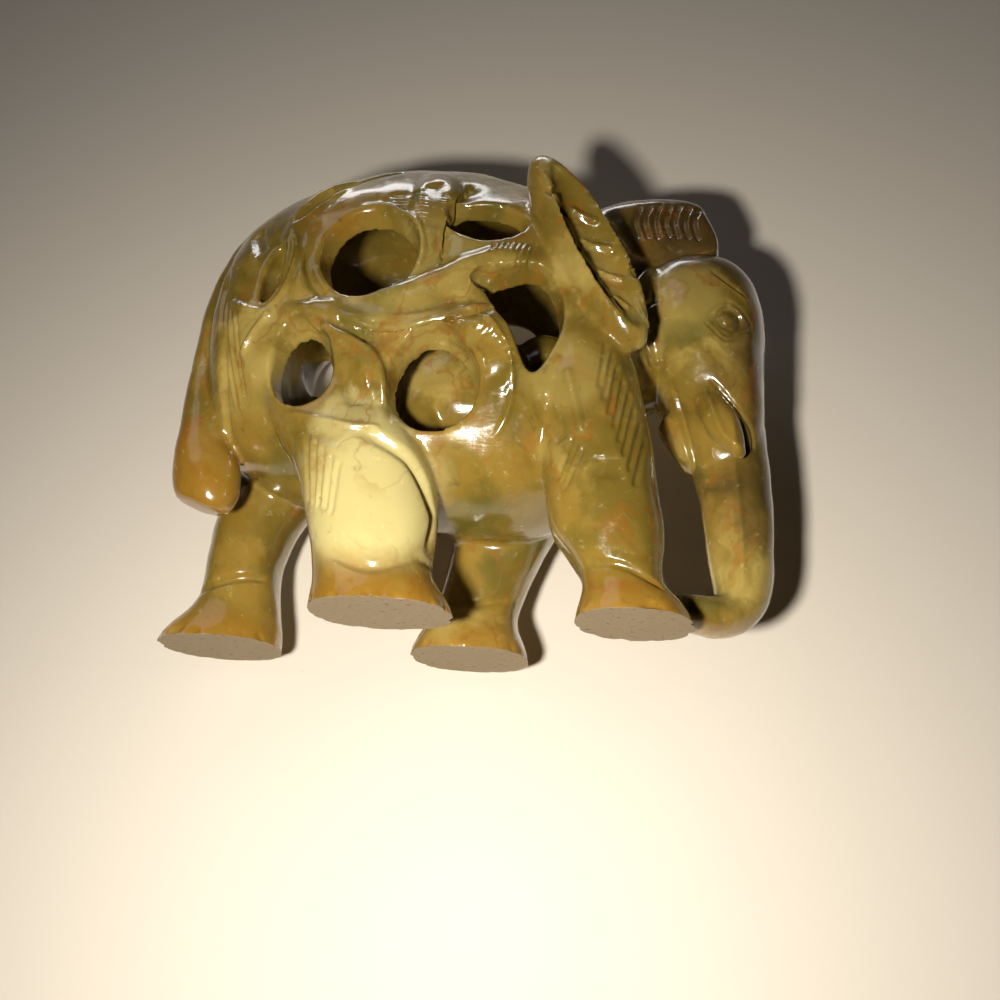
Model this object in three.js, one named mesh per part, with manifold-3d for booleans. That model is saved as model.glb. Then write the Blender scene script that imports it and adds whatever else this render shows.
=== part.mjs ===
// A small soapstone elephant, carved from one piece of stone. Its barrel is hollowed out through
// openings in both flanks, and a calf is left standing inside. Millimetres: +X runs towards the head,
// +Y towards the elephant's left side, +Z up, with the four flat soles on z = 0.
import * as THREE from 'three';
import { mergeVertices } from 'three/addons/utils/BufferGeometryUtils.js';
import Module from 'manifold-3d';

const wasm = await Module();
wasm.setup();

// ---------------------------------------------------------------------------------------------------------
// Driving dimensions. X is laid out from the middle of the belly; the finished carving is centred at the end.

const WALL = 2.4; // thickness of the openwork flank
const ROOF = 3.0; // thickness of the back over the hollow
const CAVITY_FLOOR = 13.2; // height of the floor that the calf stands on
const CAVITY_ENDS = [-20.5, 9.5]; // where the hollow stops, behind the rump and in the chest
const CAVITY_ROUNDING = 5; // length over which the hollow closes in at each end
const BARREL_POWER = 2.25; // 2 is an ellipse, more is squarer
const CAVITY_POWER = 2.85;
const LEG_POWER = 2.3;
const NECK_POWER = 2.2;
const SKULL_POWER = 2.3;
const HALF_TRACK = 6.5; // soles' distance from the middle plane
const SOLE_HALF_WIDTH = 4.5;
const BELOW_GROUND = -1; // legs are modelled down to here, then cut flat on z = 0

// Barrel rings: [x, underside, top, half width]
const BARREL = [
  [-25.6, 22.8, 31.8, 2.6],
  [-24.8, 18.4, 36.4, 6.2],
  [-22.6, 15.4, 39.9, 8.8],
  [-18.0, 13.0, 42.9, 10.8],
  [-11.0, 10.8, 45.6, 11.8],
  [-3.0, 9.7, 45.7, 12.0],
  [4.0, 9.8, 43.8, 11.8],
  [9.0, 12.4, 41.6, 10.4],
  [12.4, 16.4, 39.4, 8.0],
  [14.2, 20.8, 37.2, 4.6],
];

// Leg rings from the sole up: [height, x, half length, half width]
const RIGHT_HIND = [
  [0.0, -6.2, 6.0, SOLE_HALF_WIDTH],
  [1.6, -6.5, 5.6, 4.2],
  [3.6, -7.3, 4.9, 3.9],
  [6.8, -7.5, 5.3, 4.6],
  [11.8, -8.6, 5.9, 4.9],
  [16.8, -11.6, 6.3, 4.7],
  [22.8, -14.8, 5.6, 4.0],
];
const RIGHT_FRONT = [
  [0.0, 14.2, 4.75, SOLE_HALF_WIDTH],
  [1.6, 13.9, 4.2, 4.1],
  [3.6, 13.1, 3.2, 3.6],
  [7.8, 11.7, 4.7, 4.4],
  [12.8, 11.0, 4.6, 4.7],
  [18.3, 10.1, 4.6, 4.7],
  [24.3, 8.8, 4.4, 4.3],
  [28.8, 7.6, 3.2, 3.2],
];
const LEFT_HIND = [
  [0.0, -23.7, 5.8, SOLE_HALF_WIDTH],
  [1.6, -23.3, 5.2, 4.1],
  [4.0, -22.4, 3.8, 3.6],
  [8.8, -22.5, 3.4, 4.0],
  [13.8, -21.3, 4.2, 4.4],
  [18.8, -19.0, 5.2, 4.4],
  [24.8, -17.5, 5.0, 4.0],
];
const LEFT_FRONT = [
  [0.0, -0.4, 5.4, SOLE_HALF_WIDTH],
  [1.6, -0.4, 4.8, 4.1],
  [4.0, -0.2, 3.7, 3.5],
  [8.8, 1.0, 4.1, 4.2],
  [13.8, 2.8, 4.7, 4.6],
  [18.8, 5.0, 4.9, 4.6],
  [24.8, 7.0, 4.4, 4.2],
];

// Head: neck rings [x, underside, top, half width] and skull rings [height, x, half length, half width]
const NECK = [
  [3.0, 18.0, 41.6, 8.0],
  [9.0, 19.0, 41.0, 8.2],
  [14.0, 22.0, 37.4, 6.6],
  [18.0, 25.0, 34.6, 5.0],
];
const SKULL = [
  [15.2, 21.6, 2.2, 2.6],
  [16.8, 21.8, 3.2, 3.8],
  [21.8, 20.9, 4.2, 5.4],
  [25.6, 19.6, 5.5, 6.9],
  [29.9, 19.2, 6.1, 7.3],
  [33.7, 19.0, 5.6, 6.6],
  [35.8, 18.9, 4.2, 5.0],
  [36.6, 18.8, 2.4, 3.0],
];

// Limbs that follow a path: [x, y, z, half depth in the middle plane, half width across]
const TRUNK = [
  [21.0, 0.0, 23.8, 3.4, 3.6],
  [22.0, 0.0, 18.8, 3.5, 3.8],
  [22.7, 0.2, 13.3, 3.1, 3.3],
  [23.2, 0.4, 8.3, 2.8, 3.0],
  [23.2, 0.4, 5.0, 2.5, 2.8],
  [21.9, 0.0, 3.0, 1.9, 2.6],
  [19.8, -1.6, 2.6, 1.6, 2.2],
  [17.2, -3.6, 2.6, 1.3, 1.7],
];
const TAIL = [
  [-17.0, -1.2, 42.3, 0.9, 1.2],
  [-22.2, -2.2, 39.4, 1.5, 1.7],
  [-24.9, -2.8, 32.8, 1.6, 2.0],
  [-25.6, -3.0, 25.8, 1.6, 2.0],
  [-25.4, -3.2, 19.6, 1.8, 2.0],
  [-24.3, -3.4, 14.4, 2.9, 2.4],
  [-23.5, -3.4, 11.0, 2.9, 2.3],
  [-23.7, -3.4, 9.7, 2.0, 1.5],
];
const TUSK = [
  [19.6, 4.0, 22.0, 1.0, 1.0],
  [20.6, 4.8, 19.6, 1.5, 1.3],
  [22.0, 5.0, 17.0, 1.1, 1.0],
  [22.9, 4.8, 15.3, 0.35, 0.35],
];
const LIP = [
  [17.4, 0.0, 21.8, 2.2, 2.6],
  [18.6, 0.0, 18.4, 1.6, 2.4],
  [19.4, 0.0, 16.4, 0.8, 1.6],
];

// Eye: a sunk rhombus as [along, up] corners about its centre [x, y, z] on the side of the skull
const EYE = [21.4, 6.8, 27.7];
const EYE_RHOMBUS = [[-2.1, -0.1], [0.0, 1.8], [2.1, 0.1], [0.0, -1.8]];
const EYE_TURN = 0.32; // radians, towards the forehead
const EYE_DEPTH = 0.4;
const EYEBALL_RADIUS = 1.0;

// Ear: a pod that stands off the neck, hollowed from the front
const EAR_TOP = [4.2, 11.6, 41.2];
const EAR_FOOT = [14.0, 9.6, 23.0];
const EAR_HALF_WIDTH = 3.0;
const EAR_HALF_DEPTH = 3.0;
const EAR_HOLLOW_SHARE = [0.62, 0.8, 0.86]; // hollow against pod: across, deep and along
const EAR_HOLLOW_SHIFT = [1.2, 1.9, -0.2]; // forwards and outwards
// The slab that joins the ear to the neck: [x and z from the pod's middle, y from the middle plane],
// in the order [x, y, z, half depth, half width across]
const EAR_ROOT = [
  [-1.0, 5.0, -0.5, 6.5, 3.0],
  [-0.5, 9.0, 0.5, 6.0, 2.0],
];

// Crown of the head, tall and blunt in front, with combed grooves: rings [x, underside, top, half width]
const CROWN = [
  [6.0, 33.0, 39.0, 3.0],
  [9.0, 33.0, 42.4, 4.4],
  [14.0, 33.0, 43.6, 4.9],
  [18.6, 33.4, 43.3, 4.7],
  [19.8, 34.6, 41.6, 4.5],
  [21.0, 36.4, 38.6, 4.1],
];
const CROWN_POWER = 3;
const CROWN_GROOVES = 8;
const CROWN_GROOVE_PITCH = 1.15;
const CROWN_GROOVE_RADIUS = 0.36;
const CROWN_GROOVE_LENGTH = 6.2;
const CROWN_GROOVE_START = [11.0, 4.75, 41.2]; // middle of the rearmost groove
const CROWN_GROOVE_LEAN = [0.1, 0.12, 0.04]; // radians: inwards, forwards, and further forwards each time

// Openings in each flank, seen from the side: ovals as [x, z, half length, half height, tilt in degrees]
const OVALS = {
  saddle: [-9.9, 30.5, 4.1, 3.7, 8],
  thigh: [-14.9, 20.9, 2.7, 3.9, 8],
  belly: [-2.9, 19.4, 4.1, 3.9, 0],
  withers: [0.4, 34.5, 3.7, 1.7, -8],
  rump: [-18.4, 29.8, 0.9, 2.7, -18],
};
const SHOULDER_OPENING = [
  [0.0, 27.8], [2.4, 29.4], [5.2, 29.7], [7.7, 26.0], [6.8, 22.8], [4.9, 20.8], [3.0, 24.0],
];
const OPENING_DEPTHS = [4.5, 8.5, 14.5]; // from the middle plane: in the hollow, at the wall, past the skin
const OPENING_FLARE = 1.22; // how much wider an opening is outside than inside

// Leaf blades carved on the flank: paths in side view [x, z, half width]
const LEAVES = {
  saddle_leaf: [
    [-17.6, 25.6, 0.8], [-12.0, 24.8, 1.7], [-5.0, 26.4, 2.0], [0.6, 29.8, 1.9], [4.6, 31.6, 0.9],
  ],
  belly_leaf: [
    [-10.6, 24.8, 0.8], [-4.6, 24.0, 1.6], [0.2, 23.4, 2.6], [2.6, 20.8, 2.2], [2.4, 18.0, 0.6],
  ],
  thigh_leaf: [
    [-16.4, 25.6, 0.8], [-11.0, 22.8, 1.8], [-9.0, 18.6, 2.2], [-8.6, 15.2, 1.2],
  ],
  back_leaf: [
    [-5.6, 42.4, 1.2], [-4.4, 37.2, 2.6], [-5.2, 32.2, 1.8], [-6.6, 28.2, 0.5],
  ],
  arch_leaf: [
    [-12.6, 41.4, 0.9], [-16.0, 36.8, 1.5], [-16.6, 31.2, 1.6], [-15.0, 26.2, 0.8],
  ],
};
const LEAF_HALF_THICKNESS = 1.0;
const LEAF_SUNK = 0.45; // how far the blade's middle lies under the skin

// Calf inside: barrel and skull as [x, z, half length, half height, half width]
const CALF_BARREL = [-1.6, 23.0, 8.0, 6.2, 5.2];
const CALF_SKULL = [5.2, 25.4, 3.4, 4.0, 3.6];
const CALF_LEG_X = [-5.6, 2.0];
const CALF_HALF_TRACK = 2.9;
// Calf leg: half length and half width at the foot and at the shoulder, and how far the shank runs straight
const CALF_FOOT = [1.9, 1.7];
const CALF_SHOULDER = [2.3, 2.0];
const CALF_SHANK = 2;
const CALF_TRUNK = [
  [7.0, 0.0, 25.0, 1.6, 1.6],
  [8.4, 0.0, 20.0, 1.3, 1.4],
  [8.4, 0.0, 15.0, 1.1, 1.2],
  [7.6, 0.0, 11.6, 1.1, 1.2],
];

// ---------------------------------------------------------------------------------------------------------
// Geometry helpers

// Rows of numbers, run smoothly through the given stations.
function smoothRows(stations, steps) {
  const slope = (i, k) => {
    const before = stations[Math.max(i - 1, 0)][k];
    const after = stations[Math.min(i + 1, stations.length - 1)][k];
    return (after - before) / 2;
  };
  const rows = [];
  for (let i = 0; i < stations.length - 1; i++) {
    for (let s = 0; s < steps; s++) {
      const t = s / steps;
      rows.push(stations[i].map((a, k) => {
        const b = stations[i + 1][k];
        const [m, n] = [slope(i, k), slope(i + 1, k)];
        return a + m * t + (3 * (b - a) - 2 * m - n) * t ** 2 + (2 * (a - b) + m + n) * t ** 3;
      }));
    }
  }
  rows.push(stations.at(-1));
  return rows;
}

// One ring of points: centre plus the half axes u and v, as an oval or a squarer superellipse.
function ring(centre, u, v, sides, power = 2) {
  const bent = (c) => Math.sign(c) * Math.abs(c) ** (2 / power);
  return Array.from({ length: sides }, (_, i) => {
    const angle = (2 * Math.PI * i) / sides;
    return centre.clone().addScaledVector(u, bent(Math.cos(angle))).addScaledVector(v, bent(Math.sin(angle)));
  });
}

// A closed skin over rings that all have the same number of points, as a boolean solid.
function skin(rings) {
  const sides = rings[0].length;
  const points = rings.flat();
  const faces = [];
  for (let r = 0; r < rings.length - 1; r++) {
    for (let i = 0; i < sides; i++) {
      const j = (i + 1) % sides;
      const [a, b, c, d] = [r * sides + i, r * sides + j, (r + 1) * sides + j, (r + 1) * sides + i];
      faces.push(a, b, c, a, c, d);
    }
  }
  for (const [r, turn] of [[0, -1], [rings.length - 1, 1]]) {
    const middle = points.length;
    points.push(rings[r].reduce((sum, p) => sum.add(p), new THREE.Vector3()).divideScalar(sides));
    for (let i = 0; i < sides; i++) {
      const [a, b] = [r * sides + i, r * sides + ((i + 1) % sides)];
      faces.push(...(turn > 0 ? [a, b, middle] : [b, a, middle]));
    }
  }
  return closed(points.flatMap((p) => [p.x, p.y, p.z]), faces);
}

// A boolean solid from loose numbers, turned inside out if its faces point inwards.
function closed(coordinates, faces) {
  const [a, b, c] = [new THREE.Vector3(), new THREE.Vector3(), new THREE.Vector3()];
  let volume = 0;
  for (let f = 0; f < faces.length; f += 3) {
    a.fromArray(coordinates, faces[f] * 3);
    b.fromArray(coordinates, faces[f + 1] * 3);
    c.fromArray(coordinates, faces[f + 2] * 3);
    volume += a.dot(b.cross(c));
  }
  if (volume < 0) {
    faces.reverse();
  }
  const [vertProperties, triVerts] = [new Float32Array(coordinates), new Uint32Array(faces)];
  return new wasm.Manifold(new wasm.Mesh({ numProp: 3, vertProperties, triVerts }));
}

// A boolean solid from a closed three.js geometry.
function fromGeometry(geometry) {
  geometry.deleteAttribute('normal');
  geometry.deleteAttribute('uv');
  const merged = mergeVertices(geometry, 1e-4);
  return closed(Array.from(merged.attributes.position.array), Array.from(merged.index.array));
}

const join = (first, ...others) => others.reduce((whole, other) => whole.add(other), first);
const cut = (first, ...tools) => tools.reduce((whole, tool) => whole.subtract(tool), first);
const X = new THREE.Vector3(1, 0, 0);
const Y = new THREE.Vector3(0, 1, 0);
const Z = new THREE.Vector3(0, 0, 1);

// Rings that stand square to X: rows of [x, underside, top, half width].
function barrel(rows, sides, power) {
  return skin(rows.map(([x, low, high, half]) => ring(
    new THREE.Vector3(x, 0, (low + high) / 2),
    Y.clone().multiplyScalar(half), Z.clone().multiplyScalar((high - low) / 2), sides, power,
  )));
}

// Rings that lie level: rows of [height, x, half length, half width] beside the middle plane.
function column(rows, y, sides, power) {
  return skin(rows.map(([z, x, length, width]) => ring(
    new THREE.Vector3(x, y, z),
    X.clone().multiplyScalar(length), Y.clone().multiplyScalar(width), sides, power,
  )));
}

// Rings square to a path: rows of [x, y, z, half depth, half width across]. Across leans towards facing.
function limb(rows, sides, facing = () => Y) {
  const place = (row) => new THREE.Vector3(row[0], row[1], row[2]);
  return skin(rows.map((row, i) => {
    const ahead = place(rows[Math.min(i + 1, rows.length - 1)]);
    const along = ahead.sub(place(rows[Math.max(i - 1, 0)])).normalize();
    const across = facing(row).clone().addScaledVector(along, -facing(row).dot(along)).normalize();
    const deep = along.clone().cross(across);
    return ring(place(row), deep.multiplyScalar(row[3]), across.multiplyScalar(row[4]), sides);
  }));
}

// An ellipsoid from a unit sphere.
function egg(centre, halves, turn = new THREE.Quaternion(), sides = 16) {
  const geometry = new THREE.SphereGeometry(1, sides, Math.round(sides * 0.6));
  const [place, size] = [new THREE.Vector3(...centre), new THREE.Vector3(...halves)];
  return fromGeometry(geometry.applyMatrix4(new THREE.Matrix4().compose(place, turn, size)));
}

// ---------------------------------------------------------------------------------------------------------
// The carving

const barrelRows = smoothRows(BARREL, 2);

// Half width of the barrel at a place seen from the side.
function flank(x, z) {
  const i = Math.max(1, barrelRows.findIndex((row) => row[0] >= x));
  const [a, b] = [barrelRows[i - 1], barrelRows[i]];
  const [, low, high, half] = a.map((value, k) => THREE.MathUtils.mapLinear(x, a[0], b[0], value, b[k]));
  const rise = Math.min(1, Math.abs((2 * z - low - high) / (high - low)));
  return half * (1 - rise ** BARREL_POWER) ** (1 / BARREL_POWER);
}

function hollow() {
  const [rear, chest] = CAVITY_ENDS;
  const rows = barrelRows.filter(([x]) => x > rear && x < chest).map(([x, underside, top, half]) => {
    const toEnd = Math.min(1, Math.min(x - rear, chest - x) / CAVITY_ROUNDING);
    const swell = (1 + Math.sqrt(toEnd * (2 - toEnd))) / 2; // from one half at the ends to one
    const [low, high] = [Math.max(CAVITY_FLOOR, underside + ROOF), top - ROOF];
    const middle = (low + high) / 2;
    const lift = ((high - low) / 2) * swell;
    return [x, middle - lift, middle + lift, (half - WALL) * swell];
  });
  return barrel(rows, 20, CAVITY_POWER);
}

function leg(stations, side) {
  const [sole, ...rest] = stations;
  const rows = smoothRows([sole, ...rest], 2);
  return column([[BELOW_GROUND, ...sole.slice(1)], ...rows], side * HALF_TRACK, 14, LEG_POWER);
}

// The outline of a flank opening, run from inside the hollow out past the skin, wider outside.
function opening(outline, side) {
  const centre = outline.reduce((sum, p) => sum.add(p), new THREE.Vector2()).divideScalar(outline.length);
  const slice = (y, scale) => outline.map((p) => {
    const q = p.clone().sub(centre).multiplyScalar(scale).add(centre);
    return new THREE.Vector3(q.x, side * y, q.y);
  });
  const [inside, wall, outside] = OPENING_DEPTHS;
  return skin([slice(inside, 1), slice(wall, 1), slice(outside, OPENING_FLARE)]);
}

function ovalOutline([x, z, halfLength, halfHeight, tilt], points = 12) {
  const turn = THREE.MathUtils.degToRad(tilt);
  const curve = new THREE.EllipseCurve(x, z, halfLength, halfHeight, 0, 2 * Math.PI, false, turn);
  return curve.getPoints(points).slice(0, points);
}

function splineOutline(stations, points = 14) {
  const curve = new THREE.CatmullRomCurve3(stations.map(([x, z]) => new THREE.Vector3(x, z, 0)), true);
  return curve.getPoints(points).slice(0, points).map((p) => new THREE.Vector2(p.x, p.y));
}

// A blade that hugs the flank, standing a little proud and sinking in at its two ends.
function leaf(path, side) {
  const rows = smoothRows(path, 2);
  const outwards = ([x, , z]) => {
    const [dx, dz] = [flank(x + 0.5, z) - flank(x - 0.5, z), flank(x, z + 0.5) - flank(x, z - 0.5)];
    return new THREE.Vector3(-dx, side, -dz).normalize();
  };
  return limb(rows.map(([x, z, half], i) => {
    const thin = Math.sqrt(1.05 - ((2 * i) / (rows.length - 1) - 1) ** 2);
    return [x, side * (flank(x, z) - LEAF_SUNK), z, half, LEAF_HALF_THICKNESS * thin];
  }), 6, outwards);
}

function ear(side) {
  const flip = new THREE.Vector3(1, side, 1);
  const top = new THREE.Vector3(...EAR_TOP).multiply(flip);
  const foot = new THREE.Vector3(...EAR_FOOT).multiply(flip);
  const middle = top.clone().add(foot).divideScalar(2);
  const along = top.clone().sub(foot);
  const halves = [EAR_HALF_WIDTH, EAR_HALF_DEPTH, along.length() / 2];
  const turn = new THREE.Quaternion().setFromUnitVectors(Z, along.normalize());
  const shift = new THREE.Vector3(...EAR_HOLLOW_SHIFT).multiply(flip);
  const pod = egg(middle.toArray(), halves, turn, 14);
  const rootRows = EAR_ROOT.map(([x, y, z, ...sizes]) => [middle.x + x, side * y, middle.z + z, ...sizes]);
  const root = limb(rootRows, 10, () => X);
  const inside = halves.map((half, k) => half * EAR_HOLLOW_SHARE[k]);
  return { solid: pod, root, inside: egg(middle.clone().add(shift).toArray(), inside, turn, 12) };
}

// Combed grooves: slim rods let into both sides of the crown, fanning out towards the forehead.
function crownGrooves() {
  const rods = [];
  const [x, y, z] = CROWN_GROOVE_START;
  const [inwards, forwards, fan] = CROWN_GROOVE_LEAN;
  for (const side of [-1, 1]) {
    for (let i = 0; i < CROWN_GROOVES; i++) {
      const [wide, narrow] = [CROWN_GROOVE_RADIUS, CROWN_GROOVE_RADIUS / 2];
      const rod = new THREE.CylinderGeometry(wide, narrow, CROWN_GROOVE_LENGTH, 6);
      rod.rotateX(Math.PI / 2 + side * inwards).rotateY(forwards + fan * i);
      rods.push(fromGeometry(rod.translate(x + i * CROWN_GROOVE_PITCH, side * y, z)));
    }
  }
  return rods;
}

// The eye: a socket to cut, and the round eyeball left standing in it.
function eye(side) {
  const centre = new THREE.Vector3(EYE[0], side * EYE[1], EYE[2]);
  const outwards = new THREE.Vector3(Math.sin(EYE_TURN), side * Math.cos(EYE_TURN), 0);
  const along = new THREE.Vector3(Math.cos(EYE_TURN), -side * Math.sin(EYE_TURN), 0);
  const slice = (depth) => EYE_RHOMBUS.map(([a, b]) => centre.clone()
    .addScaledVector(along, a).addScaledVector(Z, b).addScaledVector(outwards, depth));
  const ball = centre.clone().addScaledVector(outwards, -EYE_DEPTH - EYEBALL_RADIUS / 3);
  return {
    socket: skin([slice(-EYE_DEPTH), slice(3)]),
    ball: egg(ball.toArray(), [EYEBALL_RADIUS, EYEBALL_RADIUS, EYEBALL_RADIUS], undefined, 10),
  };
}

function calf() {
  const [bx, bz, bl, bh, bw] = CALF_BARREL;
  const [sx, sz, sl, sh, sw] = CALF_SKULL;
  const legs = CALF_LEG_X.flatMap((x) => [-1, 1].map((side) => column([
    [CAVITY_FLOOR - CALF_SHANK, x, ...CALF_FOOT], [CAVITY_FLOOR + CALF_SHANK, x, ...CALF_FOOT],
    [bz, x, ...CALF_SHOULDER],
  ], side * CALF_HALF_TRACK, 8, LEG_POWER)));
  const trunk = limb(smoothRows(CALF_TRUNK, 2), 8);
  const body = egg([bx, 0, bz], [bl, bw, bh], undefined, 14);
  return join(body, egg([sx, 0, sz], [sl, sw, sh], undefined, 10), ...legs, trunk);
}

function elephant() {
  const sides = [-1, 1];
  const ears = sides.map(ear);
  const eyes = sides.map(eye);
  const body = join(
    barrel(barrelRows, 22, BARREL_POWER),
    leg(RIGHT_HIND, -1), leg(RIGHT_FRONT, -1), leg(LEFT_HIND, 1), leg(LEFT_FRONT, 1),
    barrel(smoothRows(NECK, 2), 18, NECK_POWER),
    column(smoothRows(SKULL, 2), 0, 18, SKULL_POWER),
    cut(barrel(smoothRows(CROWN, 2), 20, CROWN_POWER), ...crownGrooves()),
    limb(smoothRows(TRUNK, 2), 12), limb(smoothRows(TAIL, 2), 10), limb(smoothRows(LIP, 2), 8),
    ...sides.map((side) => limb(smoothRows(TUSK, 2).map(([x, y, ...rest]) => [x, side * y, ...rest]), 8)),
    ...sides.flatMap((side) => Object.values(LEAVES).map((path) => leaf(path, side))),
    ...ears.flatMap((e) => [e.solid, e.root]),
  );
  const ground = fromGeometry(new THREE.BoxGeometry(200, 200, 20).translate(0, 0, -10));
  const openings = sides.flatMap((side) => [
    ...Object.values(OVALS).map((oval) => opening(ovalOutline(oval), side)),
    opening(splineOutline(SHOULDER_OPENING), side),
  ]);
  const carved = cut(body, hollow(), ...openings, ...ears.map((e) => e.inside), ...eyes.map((e) => e.socket));
  return cut(join(carved, ...eyes.map((e) => e.ball), calf()), ground);
}

// ---------------------------------------------------------------------------------------------------------
// Scene graph

function toGeometry(solid) {
  const mesh = solid.getMesh();
  const geometry = new THREE.BufferGeometry();
  geometry.setAttribute('position', new THREE.BufferAttribute(new Float32Array(mesh.vertProperties), 3));
  geometry.setIndex(new THREE.BufferAttribute(new Uint32Array(mesh.triVerts), 1));
  geometry.computeBoundingBox();
  const middle = geometry.boundingBox.getCenter(new THREE.Vector3());
  return geometry.translate(-middle.x, -middle.y, 0);
}

const soapstone = new THREE.MeshStandardMaterial({ color: 0x9a8440, roughness: 0.3, metalness: 0.0 });
const carving = new THREE.Mesh(toGeometry(elephant()), soapstone);
carving.name = 'elephant';

const sculpture = new THREE.Group();
sculpture.add(carving);

export default sculpture;
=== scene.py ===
"""Dresses the carved soapstone elephant: the finished stone surface, its openwork and fine carving, and
the studio it is seen in. The blank is grown from limbs, hollowed and pierced, then carved with strokes."""
import math

import bpy
import numpy as np
from mathutils import Matrix, Quaternion, Vector, noise
from mathutils.bvhtree import BVHTree


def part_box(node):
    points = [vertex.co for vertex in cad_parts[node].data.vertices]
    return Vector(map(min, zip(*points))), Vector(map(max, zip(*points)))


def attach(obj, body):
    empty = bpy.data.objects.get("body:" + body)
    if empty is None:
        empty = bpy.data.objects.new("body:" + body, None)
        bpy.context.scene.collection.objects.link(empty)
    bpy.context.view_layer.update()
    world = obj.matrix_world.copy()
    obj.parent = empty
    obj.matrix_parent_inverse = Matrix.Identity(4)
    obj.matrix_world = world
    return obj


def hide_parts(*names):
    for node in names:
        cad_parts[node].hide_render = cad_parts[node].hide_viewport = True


bl_info = {
    "name": "Carved soapstone elephant",
    "version": (1, 0, 0),
    "blender": (4, 5, 0),
    "location": "3D View > Sidebar > Soapstone",
    "description": "Builds an undercut soapstone elephant with a calf inside, and its studio",
    "category": "Object",
}

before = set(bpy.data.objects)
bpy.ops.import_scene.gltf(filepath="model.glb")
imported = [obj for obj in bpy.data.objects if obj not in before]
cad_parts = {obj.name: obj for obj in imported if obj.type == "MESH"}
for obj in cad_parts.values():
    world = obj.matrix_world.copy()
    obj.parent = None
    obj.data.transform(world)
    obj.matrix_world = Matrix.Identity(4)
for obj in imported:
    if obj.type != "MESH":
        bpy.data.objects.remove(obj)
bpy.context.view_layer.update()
LOW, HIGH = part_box("elephant")

MM = 0.001
REAR_SOLE_X = -29.5  # where the rear-most sole ends in the carver's layout, in mm
SHIFT_X = LOW.x / MM - REAR_SOLE_X  # from the carver's layout to the frame


# ------------------------------------------------------------------------------------------------- sizes
# All in mm, in the carver's layout: x from the middle of the belly, z from the ground.

WALL = 2.4
ROOF = 3.0
CAVITY_FLOOR = 13.2
CAVITY_ENDS = (-20.5, 9.5)
BARREL_POWER = 2.25
HALF_TRACK = 6.5
SOLE_HALF_WIDTH = 4.5
BELOW_GROUND = -1.0

# Rings [x, underside, top, half width]
BARREL = [
    (-25.6, 22.8, 31.8, 2.6),
    (-24.8, 18.4, 36.4, 6.2),
    (-22.6, 15.4, 39.9, 8.8),
    (-18.0, 13.0, 42.9, 10.8),
    (-11.0, 10.8, 45.6, 11.8),
    (-3.0, 9.7, 45.7, 12.0),
    (4.0, 9.8, 43.8, 11.8),
    (9.0, 12.4, 41.6, 10.4),
    (12.4, 16.4, 39.4, 8.0),
    (14.2, 20.8, 37.2, 4.6),
]
NECK = [
    (3.0, 18.0, 41.6, 8.0),
    (9.0, 19.0, 41.0, 8.2),
    (14.0, 22.0, 37.4, 6.6),
    (18.0, 25.0, 34.6, 5.0),
]
CROWN = [
    (6.0, 33.0, 39.0, 3.0),
    (9.0, 33.0, 42.4, 4.4),
    (14.0, 33.0, 43.6, 4.9),
    (18.6, 33.4, 43.3, 4.7),
    (19.8, 34.6, 41.6, 4.5),
    (21.0, 36.4, 38.6, 4.1),
]

# Rings [height, x, half length, half width]
LEGS = {
    "right_hind": (-1, [
        (0.0, -6.2, 6.0, SOLE_HALF_WIDTH),
        (1.6, -6.5, 5.6, 4.2),
        (3.6, -7.3, 4.9, 3.9),
        (6.8, -7.5, 5.3, 4.6),
        (11.8, -8.6, 5.9, 4.9),
        (16.8, -11.6, 6.3, 4.7),
        (22.8, -14.8, 5.6, 4.0),
    ]),
    "right_front": (-1, [
        (0.0, 14.2, 4.75, SOLE_HALF_WIDTH),
        (1.6, 13.9, 4.2, 4.1),
        (3.6, 13.1, 3.2, 3.6),
        (7.8, 11.7, 4.7, 4.4),
        (12.8, 11.0, 4.6, 4.7),
        (18.3, 10.1, 4.6, 4.7),
        (24.3, 8.8, 4.4, 4.3),
        (28.8, 7.6, 3.2, 3.2),
    ]),
    "left_hind": (1, [
        (0.0, -23.7, 5.8, SOLE_HALF_WIDTH),
        (1.6, -23.3, 5.2, 4.1),
        (4.0, -22.4, 3.8, 3.6),
        (8.8, -22.5, 3.4, 4.0),
        (13.8, -21.3, 4.2, 4.4),
        (18.8, -19.0, 5.2, 4.4),
        (24.8, -17.5, 5.0, 4.0),
    ]),
    "left_front": (1, [
        (0.0, -0.4, 5.4, SOLE_HALF_WIDTH),
        (1.6, -0.4, 4.8, 4.1),
        (4.0, -0.2, 3.7, 3.5),
        (8.8, 1.0, 4.1, 4.2),
        (13.8, 2.8, 4.7, 4.6),
        (18.8, 5.0, 4.9, 4.6),
        (24.8, 7.0, 4.4, 4.2),
    ]),
}
SKULL = [
    (15.2, 21.6, 2.2, 2.6),
    (16.8, 21.8, 3.2, 3.8),
    (21.8, 20.9, 4.2, 5.4),
    (25.6, 19.6, 5.5, 6.9),
    (29.9, 19.2, 6.1, 7.3),
    (33.7, 19.0, 5.6, 6.6),
    (35.8, 18.9, 4.2, 5.0),
    (36.6, 18.8, 2.4, 3.0),
]

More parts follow.
